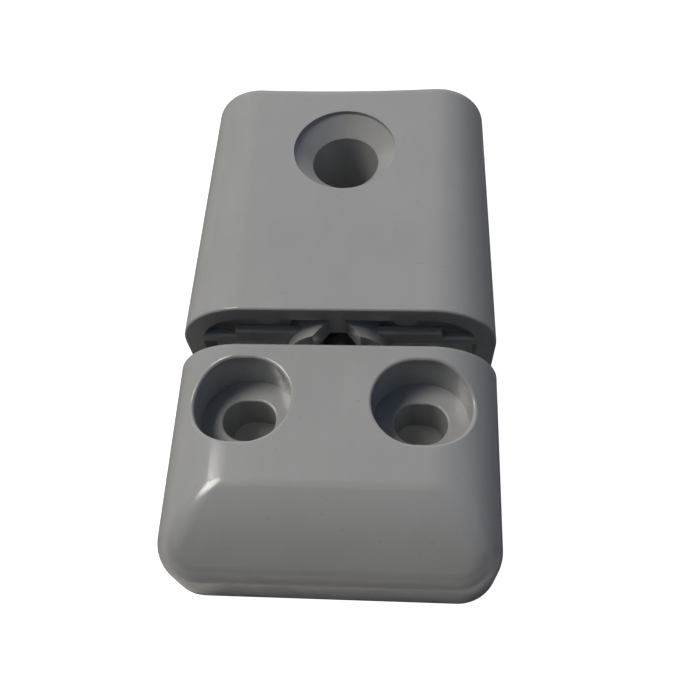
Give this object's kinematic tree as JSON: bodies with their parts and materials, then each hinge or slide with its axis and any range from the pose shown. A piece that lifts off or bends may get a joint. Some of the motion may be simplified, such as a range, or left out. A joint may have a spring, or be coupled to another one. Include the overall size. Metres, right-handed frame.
{
  "type": "shower door hinge",
  "caption": "Moulded shower door hinge with a countersunk door leaf, a slotted frame leaf and a steel pivot pin on which the door leaf lifts and turns.",
  "frame": {"origin": "centre of the flat back, midway along the hinge's length", "axes": "+Y from the frame leaf to the door leaf along the pivot, +Z out of the front, +X across the hinge"},
  "size_m": [0.048, 0.082, 0.0178],
  "materials": {
    "moulding": "light grey moulded plastic, semi-gloss",
    "steel": "plain turned steel"
  },
  "bodies": {
    "frame": {"frame_leaf": "moulding"},
    "pin": {"pivot_pin": "steel", "retaining_washer": "steel"},
    "door": {"door_leaf": "moulding"}
  },
  "joints": [
    {"name": "leaf_lift", "type": "slide", "parent": "frame", "child": "pin", "axis": [0, 1, 0], "range_m": [-0.0023, 0]},
    {"name": "door_swing", "type": "hinge", "parent": "pin", "child": "door", "pos_m": [0, 0, 0.0056], "axis": [0, 1, 0], "range_deg": [-90, 90]}
  ]
}
